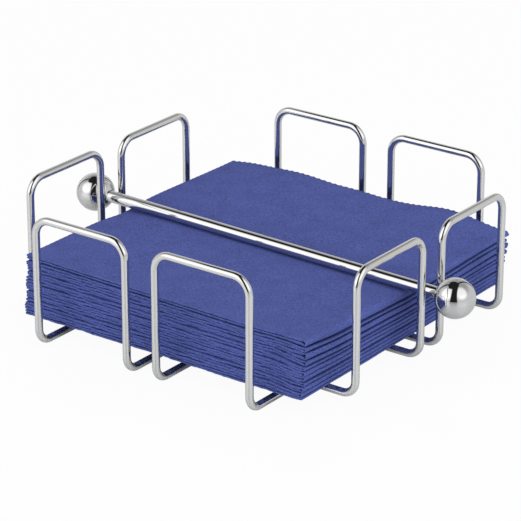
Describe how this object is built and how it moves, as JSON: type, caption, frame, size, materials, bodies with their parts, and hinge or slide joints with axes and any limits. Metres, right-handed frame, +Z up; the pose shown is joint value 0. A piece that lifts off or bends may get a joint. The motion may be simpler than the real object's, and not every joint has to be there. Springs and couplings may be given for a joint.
{
  "type": "napkin holder",
  "caption": "Square chrome wire napkin tray with upright loops on each side and a loose ball-ended weight bar that rides between the loops and holds down a stack of folded napkins.",
  "frame": {"origin": "middle of the tray at table level, under the wires", "axes": "+X along the weight bar, +Y across it, +Z up"},
  "size_m": [0.2352, 0.1958, 0.0678],
  "materials": {
    "chrome_wire": "polished",
    "chrome_bar": "polished",
    "napkin_tissue": "matte"
  },
  "bodies": {
    "frame": {"lengthwise_wire_front": "chrome_wire", "lengthwise_wire_back": "chrome_wire", "crosswise_wire_left": "chrome_wire", "crosswise_wire_right": "chrome_wire"},
    "napkin_stack": {"napkin_01": "napkin_tissue", "napkin_02": "napkin_tissue", "napkin_03": "napkin_tissue", "napkin_04": "napkin_tissue", "napkin_05": "napkin_tissue", "napkin_06": "napkin_tissue", "napkin_07": "napkin_tissue", "napkin_08": "napkin_tissue", "napkin_09": "napkin_tissue", "napkin_10": "napkin_tissue", "napkin_11": "napkin_tissue"},
    "weight_bar": {"weight_rod": "chrome_bar", "ball_left": "chrome_bar", "ball_right": "chrome_bar"}
  },
  "joints": [
    {"name": "stack_lift", "type": "slide", "parent": "frame", "child": "napkin_stack", "axis": [0, 0, 1], "range_m": [0, 0.07]},
    {"name": "bar_lift", "type": "slide", "parent": "napkin_stack", "child": "weight_bar", "axis": [0, 0, 1], "range_m": [0, 0.045]}
  ]
}
